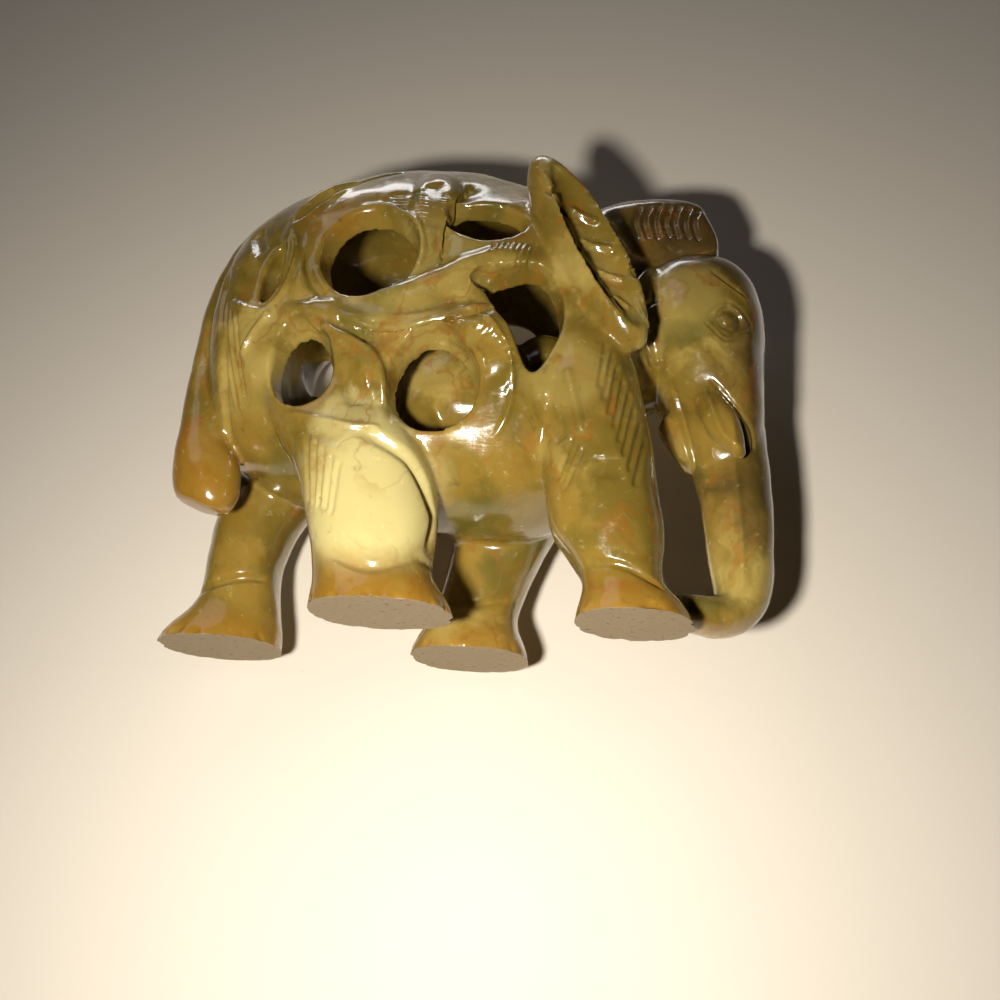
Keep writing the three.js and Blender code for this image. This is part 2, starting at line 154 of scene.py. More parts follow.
# Stations [x, y, z, half depth in the middle plane, half width across]
TRUNK = [
    (21.0, 0.0, 23.8, 3.4, 3.6),
    (22.0, 0.0, 18.8, 3.5, 3.8),
    (22.7, 0.2, 13.3, 3.1, 3.3),
    (23.2, 0.4, 8.3, 2.8, 3.0),
    (23.2, 0.4, 5.0, 2.5, 2.8),
    (21.9, 0.0, 3.0, 1.9, 2.6),
    (19.8, -1.6, 2.6, 1.6, 2.2),
    (17.2, -3.6, 2.6, 1.3, 1.7),
]
TAIL = [
    (-17.0, -1.2, 42.3, 0.9, 1.2),
    (-22.2, -2.2, 39.4, 1.5, 1.7),
    (-24.9, -2.8, 32.8, 1.6, 2.0),
    (-25.6, -3.0, 25.8, 1.6, 2.0),
    (-25.4, -3.2, 19.6, 1.8, 2.0),
    (-24.3, -3.4, 14.4, 2.9, 2.4),
    (-23.5, -3.4, 11.0, 2.9, 2.3),
    (-23.7, -3.4, 9.7, 2.0, 1.5),
]
TUSK = [
    (19.6, 4.0, 22.0, 1.0, 1.0),
    (20.6, 4.8, 19.6, 1.5, 1.3),
    (22.0, 5.0, 17.0, 1.1, 1.0),
    (22.9, 4.8, 15.3, 0.35, 0.35),
]
LIP = [
    (17.4, 0.0, 21.8, 2.2, 2.6),
    (18.6, 0.0, 18.4, 1.6, 2.4),
    (19.4, 0.0, 16.4, 0.8, 1.6),
]
CALF_TRUNK = [
    (7.0, 0.0, 25.0, 1.6, 1.6),
    (8.4, 0.0, 20.0, 1.3, 1.4),
    (8.4, 0.0, 15.0, 1.1, 1.2),
    (7.6, 0.0, 11.6, 1.1, 1.2),
]

EAR_TOP = (4.2, 11.6, 41.2)
EAR_FOOT = (14.0, 9.6, 23.0)
EAR_HALVES = (3.0, 3.0)
EAR_HOLLOW_SHARE = (0.80, 0.84, 0.90)
EAR_HOLLOW_SHIFT = (1.5, 2.1, -0.2)

# Openings in the flank, seen from the side: [x, z, half length, half height, tilt in degrees]
OVALS = {
    "saddle": (-9.8, 31.4, 4.4, 4.8, 10),
    "thigh": (-14.7, 20.6, 3.0, 4.2, 8),
    "belly": (-3.2, 19.1, 4.0, 4.1, 0),
    "withers": (0.3, 35.0, 3.6, 2.3, -8),
    "rump": (-18.4, 29.8, 1.0, 3.0, -12),
}
SHOULDER_OPENING = [(0.0, 28.0), (2.5, 29.5), (5.5, 30.0), (7.5, 26.5), (7.0, 23.0), (5.0, 20.0), (3.0, 24.0)]
RIM_UNEVENNESS = 0.03  # how far a hand-cut rim strays, as a share of its size
OPENING_NARROWS = 0.74  # how much smaller an opening is inside than at its rim
OPENING_DROPS = 1.0  # how much lower its inner edge lies, in mm

# Leaf blades on the flank: [x, z, half width]
LEAVES = {
    "saddle_leaf": [
        (-17.6, 25.6, 0.8), (-12.0, 24.8, 1.7), (-5.0, 26.4, 2.0), (0.6, 29.8, 1.9), (4.6, 31.6, 0.9),
    ],
    "belly_leaf": [
        (-10.6, 24.8, 0.8), (-4.6, 24.0, 1.6), (0.2, 23.4, 2.6), (2.6, 20.8, 2.2), (2.4, 18.0, 0.6),
    ],
    "thigh_leaf": [(-16.4, 25.6, 0.8), (-11.0, 22.8, 1.8), (-9.0, 18.6, 2.2), (-8.6, 15.2, 1.2)],
    "back_leaf": [(-5.6, 42.4, 1.2), (-4.4, 37.2, 2.6), (-5.2, 32.2, 1.8), (-6.6, 28.2, 0.5)],
    "arch_leaf": [(-12.6, 41.4, 0.9), (-16.0, 36.8, 1.5), (-16.6, 31.2, 1.6), (-15.0, 26.2, 0.8)],
}
LEAF_HALF_THICKNESS = 1.2
LEAF_SUNK = 0.3
CALF_BARREL = (-1.6, 23.0, 8.0, 6.2, 5.2)
CALF_SKULL = (5.2, 25.4, 3.4, 4.0, 3.6)
CALF_LEG_X = (-5.6, 2.0)
CALF_HALF_TRACK = 2.9

EYE = (21.4, 6.8, 27.7)
EYE_TURN = 0.32  # radians, towards the forehead
EYE_RHOMBUS = [(-2.1, -0.1), (0.0, 1.8), (2.1, 0.1), (0.0, -1.8)]
EYE_DEPTH = 0.4
EYEBALL_RADIUS = 1.0

X_AXIS = Vector((1, 0, 0))
Y_AXIS = Vector((0, 1, 0))
Z_AXIS = Vector((0, 0, 1))


# ------------------------------------------------------------------------------------------ growing solids
# The stone is worked at one unit to the millimetre, and brought down to metres when it is finished.

def smooth_rows(stations, steps):
    """Rows of numbers, run smoothly through the given stations."""
    rows = np.array(stations, float)
    last = len(rows) - 1
    slopes = np.array([(rows[min(i + 1, last)] - rows[max(i - 1, 0)]) / 2 for i in range(last + 1)])
    out = []
    for i in range(last):
        a, b, m, n = rows[i], rows[i + 1], slopes[i], slopes[i + 1]
        for t in np.arange(steps) / steps:
            out.append(a + m * t + (3 * (b - a) - 2 * m - n) * t**2 + (2 * (a - b) + m + n) * t**3)
    out.append(rows[last])
    return out


def columns(*axes):
    """A 3 by 3 matrix from its three column vectors."""
    return Matrix([list(axis) for axis in axes]).transposed()


def barrel_rings(rows):
    """Rings square to X: rows of [x, underside, top, half width]."""
    upright = columns(Y_AXIS, Z_AXIS, X_AXIS)
    rings = []
    for x, low, high, half in rows:
        rings.append((Vector((x, 0, (low + high) / 2)), upright, half, (high - low) / 2))
    return rings


def column_rings(rows, y=0.0):
    """Level rings: rows of [height, x, half length, half width]."""
    level = Matrix.Identity(3)
    return [(Vector((x, y, z)), level, length, width) for z, x, length, width in rows]


def limb_rings(rows, facing=None):
    """Rings square to a path: rows of [x, y, z, half depth, half width across]."""
    places = [Vector(row[:3]) for row in rows]
    rings = []
    for i, row in enumerate(rows):
        along = (places[min(i + 1, len(rows) - 1)] - places[max(i - 1, 0)]).normalized()
        lean = facing(row) if facing else Y_AXIS
        across = (lean - along * lean.dot(along)).normalized()
        rings.append((places[i], columns(across, along.cross(across), along), row[4], row[3]))
    return rings


def start_clean():
    """Nothing selected, so that an operator acts on the new shape alone."""
    if bpy.context.mode != "OBJECT":
        bpy.ops.object.mode_set(mode="OBJECT")
    bpy.ops.object.select_all(action="DESELECT")


def turn_section(turn, centre):
    axis, angle = turn.to_axis_angle()
    if angle > 1e-4:
        facing = axis.to_track_quat("Z", "Y").to_matrix()
        bpy.ops.transform.rotate(value=-angle, orient_axis="Z", orient_matrix=facing, center_override=centre)


def size_section(wide, deep, frame_here, centre):
    bpy.ops.transform.resize(
        value=(wide, deep, 1), orient_type="GLOBAL", orient_matrix=frame_here, orient_matrix_type="GLOBAL",
        center_override=centre,
    )


def grow(name, rings, sides=20, power=2.0, smoothing=2):
    """Grow a limb from a round section that is extruded, turned and sized from ring to ring."""
    start_clean()
    bpy.ops.mesh.primitive_circle_add(vertices=sides, radius=1, fill_type="NGON")
    limb = bpy.context.object
    limb.name = name
    for vertex in limb.data.vertices:  # squarer than a circle where power is over 2
        for k in (0, 1):
            vertex.co[k] = math.copysign(abs(vertex.co[k]) ** (2 / power), vertex.co[k])
    fuller = 3 / (2 + math.cos(2 * math.pi / sides)) if smoothing else 1.0  # what smoothing takes off a ring
    centre, frame_here, wide, deep = rings[0]
    bpy.ops.object.mode_set(mode="EDIT")
    turn_section(frame_here.to_quaternion(), Vector())
    bpy.ops.transform.translate(value=centre)
    size_section(wide * fuller, deep * fuller, frame_here, centre)
    for (at, was, width_was, depth_was), (to, frame_here, wide, deep) in zip(rings, rings[1:]):
        bpy.ops.mesh.extrude_region_move(TRANSFORM_OT_translate={"value": to - at})
        turn_section((frame_here @ was.transposed()).to_quaternion(), to)
        size_section(wide / width_was, deep / depth_was, frame_here, to)
    bpy.ops.mesh.select_all(action="SELECT")
    bpy.ops.mesh.normals_make_consistent(inside=False)
    bpy.ops.object.mode_set(mode="OBJECT")
    if smoothing:
        finish_with(limb, "SUBSURF", levels=smoothing, render_levels=smoothing)
    return limb


def finish_with(piece, kind, **settings):
    """Add a modifier to a piece, set it, and apply it."""
    start_clean()
    piece.select_set(True)
    bpy.context.view_layer.objects.active = piece
    bpy.ops.object.modifier_add(type=kind)
    modifier = piece.modifiers[-1]
    for key, value in settings.items():
        setattr(modifier, key, value)
    bpy.ops.object.modifier_apply(modifier=modifier.name)


def pebble(name, centre, halves, turn=None):
    """An egg-shaped solid: a ball, sized and turned into place."""
    start_clean()
    bpy.ops.mesh.primitive_uv_sphere_add(segments=32, ring_count=20, radius=1)
    ball = bpy.context.object
    ball.name = name
    ball.scale = halves
    ball.rotation_mode = "QUATERNION"
    ball.rotation_quaternion = turn or Quaternion()
    ball.location = centre
    bpy.ops.object.transform_apply(location=True, rotation=True, scale=True)
    return ball


def combine(target, tool, operation):
    """Join a tool to the target, or cut it away, and remove the tool."""
    finish_with(target, "BOOLEAN", object=tool, operation=operation, solver="MANIFOLD")
    spent = tool.data
    bpy.data.objects.remove(tool)
    bpy.data.meshes.remove(spent)


# ------------------------------------------------------------------------------------------- the blank

BARREL_ROWS = smooth_rows(BARREL, 4)
BARREL_TABLE = np.array(BARREL_ROWS)


def flank(x, z):
    """Half width of the barrel at a place seen from the side."""
    low, high, half = (np.interp(x, BARREL_TABLE[:, 0], BARREL_TABLE[:, k]) for k in (1, 2, 3))
    rise = min(1.0, abs((2 * z - low - high) / (high - low)))
    return half * (1 - rise**BARREL_POWER) ** (1 / BARREL_POWER)


def outwards(x, z, side):
    """Which way the flank faces at a place seen from the side."""
    slope_x = flank(x + 0.5, z) - flank(x - 0.5, z)
    slope_z = flank(x, z + 0.5) - flank(x, z - 0.5)
    return Vector((-slope_x, side, -slope_z)).normalized()


def make_hollow():
    rear, chest = CAVITY_ENDS
    rows = []
    for x, underside, top, half in BARREL_ROWS:
        if not rear < x < chest:
            continue
        to_end = min(1, min(x - rear, chest - x) / 5)
        swell = math.sqrt(to_end * (2 - to_end))
        low, high = max(CAVITY_FLOOR, underside + ROOF), top - ROOF
        middle = (low + high) / 2
        lift = (high - low) / 2 * (0.55 + 0.45 * swell)
        rows.append((x, middle - lift, middle + lift, (half - WALL) * (0.5 + 0.5 * swell)))
    return grow("hollow", barrel_rings(rows), 24, BARREL_POWER + 0.6)


def make_leg(side, stations):
    rows = smooth_rows(stations, 2)
    foot = (BELOW_GROUND, *stations[0][1:])
    below = (BELOW_GROUND - 1, *stations[0][1:])
    return grow("leg", column_rings([below, foot, *rows], side * HALF_TRACK), 20, 2.3)


def make_leaf(path, side):
    """A blade that hugs the flank, standing a little proud and sinking in at its two ends."""
    rows = smooth_rows(path, 3)
    places = []
    for i, (x, z, half) in enumerate(rows):
        thin = math.sqrt(1.05 - (2 * i / (len(rows) - 1) - 1) ** 2)
        places.append((x, side * (flank(x, z) - LEAF_SUNK), z, half, LEAF_HALF_THICKNESS * thin))
    return grow("leaf", limb_rings(places, lambda row: outwards(row[0], row[2], side)), 10)


def make_opening(outline, side):
    """A flank opening, run from the hollow out past the skin. Its walls slope in and down from the rim."""
    start_clean()
    bpy.ops.mesh.primitive_circle_add(vertices=len(outline), radius=1, fill_type="NGON")
    tool = bpy.context.object
    tool.name = "opening"
    x, z = np.mean(outline, axis=0)
    for vertex, place in zip(tool.data.vertices, outline):
        vertex.co = (place[0], side * 4.5, place[1])
    bpy.ops.object.mode_set(mode="EDIT")
    bpy.ops.transform.resize(value=(OPENING_NARROWS, 1, OPENING_NARROWS), center_override=(x, 0, z))
    bpy.ops.transform.translate(value=(0, 0, -OPENING_DROPS))
    bpy.ops.mesh.extrude_region_move(TRANSFORM_OT_translate={"value": (0, side * 3.0, 0)})
    bpy.ops.mesh.extrude_region_move(TRANSFORM_OT_translate={"value": (0, side * 3.4, OPENING_DROPS)})
    wider = 1 / OPENING_NARROWS
    bpy.ops.transform.resize(value=(wider, 1, wider), center_override=(x, 0, z))
    bpy.ops.mesh.extrude_region_move(TRANSFORM_OT_translate={"value": (0, side * 4.0, 0)})
    bpy.ops.transform.resize(value=(1.12, 1, 1.12), center_override=(x, 0, z))
    bpy.ops.mesh.select_all(action="SELECT")
    bpy.ops.mesh.normals_make_consistent(inside=False)
    bpy.ops.object.mode_set(mode="OBJECT")
    return tool


def rim_arc(name, start, end, gap=0.0, steps=12):
    """Places along an opening's rim from one angle to another, in degrees, a gap outside it."""
    x, z, half_length, half_height, tilt = OVALS[name]
    turn = math.radians(tilt)
    path = []
    for k in range(steps + 1):
        angle = math.radians(start + (end - start) * k / steps)
        uneven = 1 + RIM_UNEVENNESS * math.sin(3 * angle + x)
        a = (half_length * uneven + gap) * math.cos(angle)
        b = (half_height * uneven + gap) * math.sin(angle)
        along, up = a * math.cos(turn) - b * math.sin(turn), a * math.sin(turn) + b * math.cos(turn)
        path.append((x + along, z + up))
    return path


def moved(path, dx, dz):
    return [(x + dx, z + dz) for x, z in path]


def looped_outline(stations, steps=6):
    """A smooth closed outline through its stations."""
    wrapped = [stations[-1], *stations, stations[0], stations[1]]
    rows = smooth_rows(wrapped, steps)
    return [tuple(row) for row in rows[steps:-2 * steps]]


def ear_parts(side):
    flip = Vector((1, side, 1))
    top, foot = Vector(EAR_TOP) * flip, Vector(EAR_FOOT) * flip
    middle, along = (top + foot) / 2, top - foot
    turn = along.to_track_quat("Z", "Y")
    halves = (*EAR_HALVES, along.length / 2)
    upright = Z_AXIS.rotation_difference(along.normalized())
    pod = pebble("ear", middle, halves, upright)
    root = grow("ear_root", limb_rings([
        (middle.x - 1.0, side * 5.0, middle.z - 0.5, 6.5, 3.0),
        (middle.x - 0.75, side * 7.0, middle.z, 6.3, 2.5),
        (middle.x - 0.5, side * 9.0, middle.z + 0.5, 6.0, 2.0),
    ], lambda row: X_AXIS), 16)
    inside = [half * share for half, share in zip(halves, EAR_HOLLOW_SHARE)]
    hollow = pebble("ear_hollow", middle + Vector(EAR_HOLLOW_SHIFT) * flip, inside, upright)
    return pod, root, hollow


def make_socket(side):
    """The sunk rhombus round an eye, as a tool to cut with."""
    out = Vector((math.sin(EYE_TURN), side * math.cos(EYE_TURN), 0))
    along = Vector((math.cos(EYE_TURN), -side * math.sin(EYE_TURN), 0))
    centre = Vector((EYE[0], side * EYE[1], EYE[2]))
    start_clean()
    bpy.ops.mesh.primitive_circle_add(vertices=4, radius=1, fill_type="NGON")
    tool = bpy.context.object
    for vertex, (a, b) in zip(tool.data.vertices, EYE_RHOMBUS):
        vertex.co = centre + along * a + Z_AXIS * b - out * EYE_DEPTH
    bpy.ops.object.mode_set(mode="EDIT")
    bpy.ops.mesh.extrude_region_move(TRANSFORM_OT_translate={"value": out * 3})
    bpy.ops.mesh.select_all(action="SELECT")
    bpy.ops.mesh.normals_make_consistent(inside=False)
    bpy.ops.object.mode_set(mode="OBJECT")
    ball = centre - out * (EYE_DEPTH + EYEBALL_RADIUS / 3)
    return tool, pebble("eyeball", ball, [EYEBALL_RADIUS] * 3)


def make_calf():
    bx, bz, bl, bh, bw = CALF_BARREL
    sx, sz, sl, sh, sw = CALF_SKULL
    parts = [
        pebble("calf", (bx, 0, bz), (bl, bw, bh)),
        pebble("calf_skull", (sx, 0, sz), (sl, sw, sh)),
        grow("calf_trunk", limb_rings(smooth_rows(CALF_TRUNK, 2)), 12),
    ]
    for x in CALF_LEG_X:
        for side in (-1, 1):
            rows = [(CAVITY_FLOOR - 2, x, 1.9, 1.7), (CAVITY_FLOOR + 2, x, 1.9, 1.7), (bz, x, 2.3, 2.0)]
            parts.append(grow("calf_leg", column_rings(rows, side * CALF_HALF_TRACK), 12, 2.3))
    return parts


def rough_out():
    """The whole blank: limbs joined to the barrel, hollowed, pierced, with the calf left standing inside."""
    sides = (-1, 1)
    body = grow("elephant_carving", barrel_rings(BARREL_ROWS), 28, BARREL_POWER)
    ears = [ear_parts(side) for side in sides]
    eyes = [make_socket(side) for side in sides]
    solids = [make_leg(side, stations) for side, stations in LEGS.values()]
    solids += [
        grow("neck", barrel_rings(smooth_rows(NECK, 2)), 20, 2.2),
        grow("skull", column_rings(smooth_rows(SKULL, 2)), 20, 2.3),
        grow("crown", barrel_rings(smooth_rows(CROWN, 2)), 20, 3.0),
        grow("trunk", limb_rings(smooth_rows(TRUNK, 2)), 16),
        grow("tail", limb_rings(smooth_rows(TAIL, 2)), 12),
        grow("lip", limb_rings(smooth_rows(LIP, 2)), 12),
    ]
    for side in sides:
        tusk = [(x, side * y, *rest) for x, y, *rest in smooth_rows(TUSK, 2)]
        solids.append(grow("tusk", limb_rings(tusk), 12))
        solids += [make_leaf(path, side) for path in LEAVES.values()]
    for pod, root, _ in ears:
        solids += [pod, root]
    for solid in solids:
        combine(body, solid, "UNION")
    cuts = [make_hollow()] + [hollow for _, _, hollow in ears] + [socket for socket, _ in eyes]
    for side in sides:
        cuts += [make_opening(rim_arc(name, 0, 360, steps=40)[:-1], side) for name in OVALS]
        cuts.append(make_opening(looped_outline(SHOULDER_OPENING), side))
    for tool in cuts:
        combine(body, tool, "DIFFERENCE")
    for solid in [ball for _, ball in eyes] + make_calf():
        combine(body, solid, "UNION")
    return body


# ------------------------------------------------------------------------------------- gouge and scraper
# Strokes are smooth lines [x, z] seen from the side, laid on the stone and cut or raised along their length.

RIGHT, LEFT = -1, 1
LINE_PITCH = 0.12  # between the places that a stroke is laid through, in mm

# Guides for parallel strokes, which run from the first to the last
CROWN_GUIDES = [
    [(13.0, 41.5), (12.5, 39.5), (13.0, 37.5)],
    [(19.5, 41.5), (19.0, 39.5), (19.5, 37.5)],
]
LEG_GUIDES = [
    [(11.0, 24.0), (10.5, 19.0)],
    [(15.0, 14.5), (14.0, 9.5)],
]
ELBOW_GUIDES = [
    [(8.5, 14.5), (7.5, 11.0)],
    [(10.0, 13.0), (8.5, 9.5)],
]
THIGH_GUIDES = [
    [(-13.5, 14.5), (-13.0, 8.5)],
    [(-9.5, 11.0), (-10.0, 6.5)],
]
TAIL_GUIDES = [
    [(-24.0, 29.5), (-23.5, 25.5), (-21.5, 17.5)],
    [(-21.5, 27.5), (-21.0, 24.0), (-19.5, 18.0)],
]
SADDLE_HATCH = [
    [(-9.0, 38.5), (-6.0, 38.5), (-3.0, 37.5)],
    [(-7.0, 34.0), (-5.0, 34.0), (-3.0, 34.0)],
]
COLLAR_HATCH = [
    [(1.0, 32.5), (0.5, 29.5)],
    [(5.0, 32.5), (4.5, 30.0)],
]
BELLY_HATCH = [
    [(1.5, 24.0), (-0.5, 22.5)],
    [(4.5, 20.5), (2.5, 19.0)],
]
KNEE_HATCH = [
    [(-11.0, 20.5), (-10.5, 16.5)],
    [(-8.0, 19.5), (-8.0, 16.5)],
]
LEAF_VEINS = [
    [(-7.5, 36.5), (-4.5, 30.5)],
    [(-2.5, 38.5), (-3.5, 31.0)],
]
FILE_MARKS = [
    [(6.0, 18.5), (7.0, 17.0)],
    [(7.5, 15.0), (8.0, 13.5)],
]


class Stroke:
    """One cut or ridge: its path, the side it is on, how wide and deep it is, and the shape across it."""

    def __init__(self, path, side=RIGHT, width=0.3, depth=0.12, shape="groove"):
        self.path = path
        self.side = side
        self.width = width
        self.depth = depth
        self.shape = shape


def between(first, last, share):
    """A path part of the way from one to another."""
    return [tuple(a + (b - a) * share for a, b in zip(p, q)) for p, q in zip(first, last)]


def comb(guides, pitch, side, seed, **settings):
    """Parallel strokes that run from one guide to the next, a pitch apart, each a little different."""
    rng = np.random.default_rng(seed)
    strokes = []
    for first, last in zip(guides, guides[1:]):
        start, end = np.array(first[len(first) // 2]), np.array(last[len(last) // 2])
        count = max(1, round(float(np.linalg.norm(end - start)) / pitch))
        for k in range(count):
            path = np.array(between(first, last, (k + 0.5) / count))
            path += rng.normal(0, 0.05, path.shape)
            strokes.append(Stroke([tuple(p) for p in path], side, **settings))
    return strokes


BAND_EDGE = [(-10.0, 23.5), (-6.0, 23.0), (-2.0, 24.0), (1.5, 25.5)]
TRUNK_EDGE = [(x - 0.2, z) for x, _, z, _, _ in TRUNK[1:5]]
EYE_CORNERS = [(EYE[0] + a, EYE[2] + b) for a, b in EYE_RHOMBUS]

# Single edges: path, width, depth, shape across. A negative depth stands proud.
FLANK_EDGES = [
    (rim_arc("rump", 80, -80, 1.0), 0.5, -0.32, "crest"),
    ([(-14.5, 38.5), (-16.0, 34.5), (-16.5, 27.5)], 0.95, 0.40, "scoop"),
    ([(-17.5, 34.5), (-13.5, 40.0), (-8.5, 43.0)], 0.6, 0.50, "groove"),
    (rim_arc("saddle", 170, 225, 1.2), 0.6, 0.35, "crest"),
    (BAND_EDGE, 1.3, 0.60, "step"),
    (moved(BAND_EDGE, 0, 0.3), 0.40, -0.25, "crest"),
    ([(-12.5, 25.5), (-4.0, 26.0), (3.0, 31.0)], 1.3, 0.50, "scoop"),
    ([(-15.0, 25.5), (-12.0, 23.0), (-8.0, 20.5), (-7.0, 15.5)], 0.75, -0.50, "crest"),
    ([(-12.0, 24.0), (-8.5, 22.0)], 0.75, 0.45, "scoop"),
    ([(-10.5, 20.5), (-9.0, 16.5)], 1.15, 0.40, "scoop"),
    ([(-15.5, 16.0), (-10.0, 14.5), (-7.0, 14.5)], 0.55, -0.35, "crest"),
    ([(-16.0, 15.0), (-10.0, 13.0)], 0.9, 0.25, "groove"),
    ([(-8.5, 14.0), (-4.5, 12.0), (-2.5, 8.5), (-2.5, 5.0)], 0.9, 0.65, "groove"),
    ([(-3.5, 29.5), (-3.0, 35.0), (-2.0, 39.5)], 1.3, 0.70, "step"),
    (rim_arc("saddle", 95, -50, 0.4), 0.45, -0.30, "crest"),
    ([(-5.0, 39.5), (-4.0, 33.0)], 1.2, 0.30, "scoop"),
    ([(-3.0, 23.5), (2.0, 21.5), (2.0, 18.5)], 1.1, 0.35, "scoop"),
    (rim_arc("belly", 60, -40, 2.8), 0.45, -0.25, "crest"),
    ([(-21.5, 35.5), (-20.0, 32.0)], 0.9, 0.35, "scoop"),
    ([(-22.5, 27.5), (-20.0, 26.0), (-18.0, 25.5)], 0.6, -0.40, "crest"),
    ([(-18.0, 25.5), (-19.0, 24.5), (-20.5, 22.0)], 0.55, -0.40, "crest"),
    ([(-24.5, 34.5), (-23.0, 26.5), (-22.0, 15.5)], 0.75, 0.50, "groove"),
    # the shoulder: a filed facet, a round hollow, and the edge down the front of the leg
    ([(6.0, 18.0), (8.0, 14.0)], 1.0, 0.35, "scoop"),
    ([(11.5, 12.5), (11.5, 10.5)], 1.7, 0.30, "scoop"),
    ([(8.0, 20.5), (9.5, 14.5)], 0.6, -0.25, "groove"),
    # ankles and toes
    ([(-10.5, 4.0), (-6.5, 2.5), (-3.0, 4.0)], 0.65, 0.35, "groove"),
    ([(10.5, 4.0), (13.5, 3.5), (16.5, 2.0)], 0.5, 0.28, "groove"),
    ([(-26.0, 4.5), (-22.0, 5.5), (-19.5, 6.0)], 0.6, 0.40, "groove"),
    ([(-3.5, 4.0), (0.0, 4.0), (3.0, 5.0)], 0.6, 0.30, "groove"),
]
HEAD_EDGES = [
    # the fold under the crown, and its curl behind the temple
    ([(14.0, 29.0), (13.0, 31.0), (14.5, 34.5), (18.0, 36.0), (21.0, 36.0)], 0.5, 0.5, "groove"),
    ([(14.0, 29.0), (15.0, 30.0), (15.0, 31.0)], 0.45, 0.3, "groove"),
    # the brow and the edge of the eye's socket
    ([(20.0, 33.0), (21.5, 31.5), (23.0, 30.5)], 0.35, 0.28, "groove"),
    (moved([(20.0, 33.0), (21.5, 31.5), (23.0, 30.5)], 0.3, -0.5), 0.3, -0.2, "crest"),
    (EYE_CORNERS + EYE_CORNERS[:1], 0.26, 0.22, "crest"),
    # the lens-shaped facet behind the cheek
    ([(14.5, 27.0), (15.5, 24.5)], 0.9, 0.45, "scoop"),
    ([(13.5, 27.5), (15.0, 24.0)], 0.3, -0.2, "crest"),
    # the tusk, the mouth and the edge down the trunk
    ([(20.0, 22.5), (23.5, 19.0), (24.0, 17.0)], 0.35, 0.30, "groove"),
    ([(19.5, 22.0), (21.0, 17.5), (23.0, 16.0)], 0.45, -0.25, "crest"),
    ([(17.0, 22.5), (19.0, 16.0)], 0.5, 0.45, "groove"),
    (TRUNK_EDGE, 0.6, -0.28, "crest"),
    # the rim of the ear, and the ribs across its hollow
    ([(5.0, 38.5), (8.0, 32.5), (12.5, 25.0)], 0.5, -0.30, "crest"),
    ([(7.5, 36.0), (10.0, 35.0)], 0.55, -0.45, "crest"),
    ([(8.5, 33.0), (11.5, 32.5)], 0.55, -0.45, "crest"),
    ([(10.0, 30.0), (12.5, 29.5)], 0.5, -0.40, "crest"),
    ([(11.5, 27.5), (13.0, 26.5)], 0.5, -0.35, "crest"),
]
EAR_CHIPS = [(5.9, 36.4), (6.9, 34.9), (8.3, 31.8), (10.0, 28.8), (11.0, 27.2)]
EYE_RING = 1.0


def ring_round(x, z, radius, turns=16):
    return [(x + radius * math.sin(k * math.tau / turns), z + radius * math.cos(k * math.tau / turns))
            for k in range(turns + 1)]


def carving_strokes():
    """Every stroke on both sides. The left side has the same work in mirror, cut by the same hand."""
    strokes = []
    for side in (RIGHT, LEFT):
        strokes += [Stroke(path, side, *rest) for path, *rest in FLANK_EDGES + HEAD_EDGES]
        strokes += comb(CROWN_GUIDES, 0.95, side, 13, width=0.44, depth=0.40)
        strokes += comb(LEG_GUIDES, 1.25, side, 15, width=0.42, depth=0.22)
        strokes += comb(ELBOW_GUIDES, 0.6, side, 17, width=0.42, depth=0.22)
        strokes += comb(THIGH_GUIDES, 0.7, side, 19, width=0.40, depth=0.20)
        strokes += comb(TAIL_GUIDES, 0.7, side, 21, width=0.36, depth=0.20)
        strokes += comb(SADDLE_HATCH, 0.46, side, 3, width=0.28, depth=0.15)
        strokes += comb(LEAF_VEINS, 0.5, side, 4, width=0.28, depth=0.06)
        strokes += comb(COLLAR_HATCH, 0.48, side, 5, width=0.27, depth=0.16)
        strokes += comb(BELLY_HATCH, 0.62, side, 7, width=0.34, depth=0.16)
        strokes += comb(KNEE_HATCH, 0.5, side, 9, width=0.28, depth=0.09)
        strokes += comb(FILE_MARKS, 0.4, side, 11, width=0.26, depth=0.10)
        for x, z in EAR_CHIPS:
            strokes.append(Stroke([(x - 0.3, z + 0.3), (x + 0.3, z - 0.3)], side, 0.6, 0.4, "scoop"))
        strokes.append(Stroke(ring_round(EYE[0] + 0.1, EYE[2] + 0.2, EYE_RING), side, 0.26, 0.22, "crest"))
    return strokes


def lay_line(stroke, tree):
    """The stroke's path on the stone, as points and the way the stone faces there."""
    longest = max(math.dist(a, b) for a, b in zip(stroke.path, stroke.path[1:]))
    rows = smooth_rows(stroke.path, max(6, math.ceil(longest / LINE_PITCH)))
    places, normals = [], []
    for a, b in rows:
        start, way = Vector((a, stroke.side * 40, b)), Vector((0, -stroke.side, 0))
        place, normal, _, _ = tree.ray_cast(start, way)
        if place:
            places.append(place)
            normals.append(normal)
    return np.array(places), np.array(normals)


def read_points(mesh):
    flat = np.empty(len(mesh.vertices) * 3)
    mesh.vertices.foreach_get("co", flat)
    return flat.reshape(-1, 3)


def read_normals(mesh):
    flat = np.empty(len(mesh.vertices) * 3)
    mesh.vertex_normals.foreach_get("vector", flat)
    return flat.reshape(-1, 3)


def write_points(mesh, points):
    mesh.vertices.foreach_set("co", points.ravel())
    mesh.update()


def near_line(points, line, reach):
    """Which points are within reach of the line, how far off, and which place on the line is nearest."""
    low, high = line.min(0) - reach, line.max(0) + reach
    inside = np.nonzero(((points > low) & (points < high)).all(1))[0]
    if not len(inside):
        return inside, inside, inside
    gaps = np.linalg.norm(points[inside, None, :] - line[None, :, :], axis=2)
    nearest = gaps.argmin(1)
    distance = gaps[np.arange(len(inside)), nearest]
    keep = distance < reach
    return inside[keep], distance[keep], nearest[keep]


